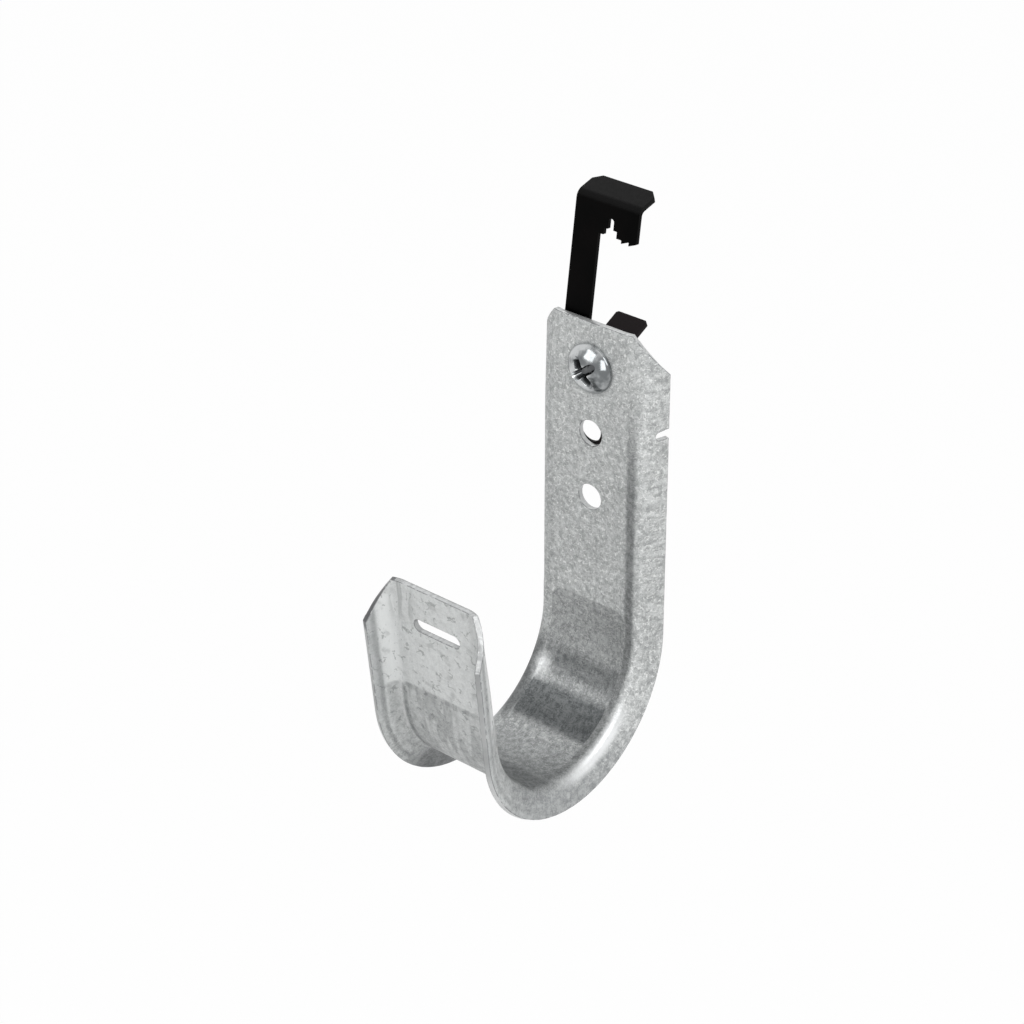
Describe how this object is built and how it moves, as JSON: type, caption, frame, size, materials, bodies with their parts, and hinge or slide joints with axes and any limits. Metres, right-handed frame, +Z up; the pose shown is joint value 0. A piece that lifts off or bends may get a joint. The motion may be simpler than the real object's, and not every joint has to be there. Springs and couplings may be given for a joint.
{
  "type": "j hook cable support",
  "caption": "Pressed sheet J hook with flanged edges that cradles a cable bundle, hung from a hammer-on spring steel clip by a pan head screw and nut.",
  "frame": {"origin": "centre of the lower fixing hole, on the face of the strap that the cables touch", "axes": "X across the strap, right as seen from the cable side; the lip stands toward -Y and the flanges and the clip toward +Y; +Z up"},
  "size_m": [0.036, 0.0747, 0.1429],
  "materials": {
    "galvanised_sheet": "hot-dip galvanised, soft spangle",
    "spring_steel": "black oxide spring steel, satin",
    "zinc_plate": "bright zinc plate"
  },
  "bodies": {
    "root": {"hook": "galvanised_sheet", "beam_clip": "spring_steel", "screw": "zinc_plate", "hex_nut": "zinc_plate"}
  },
  "joints": []
}
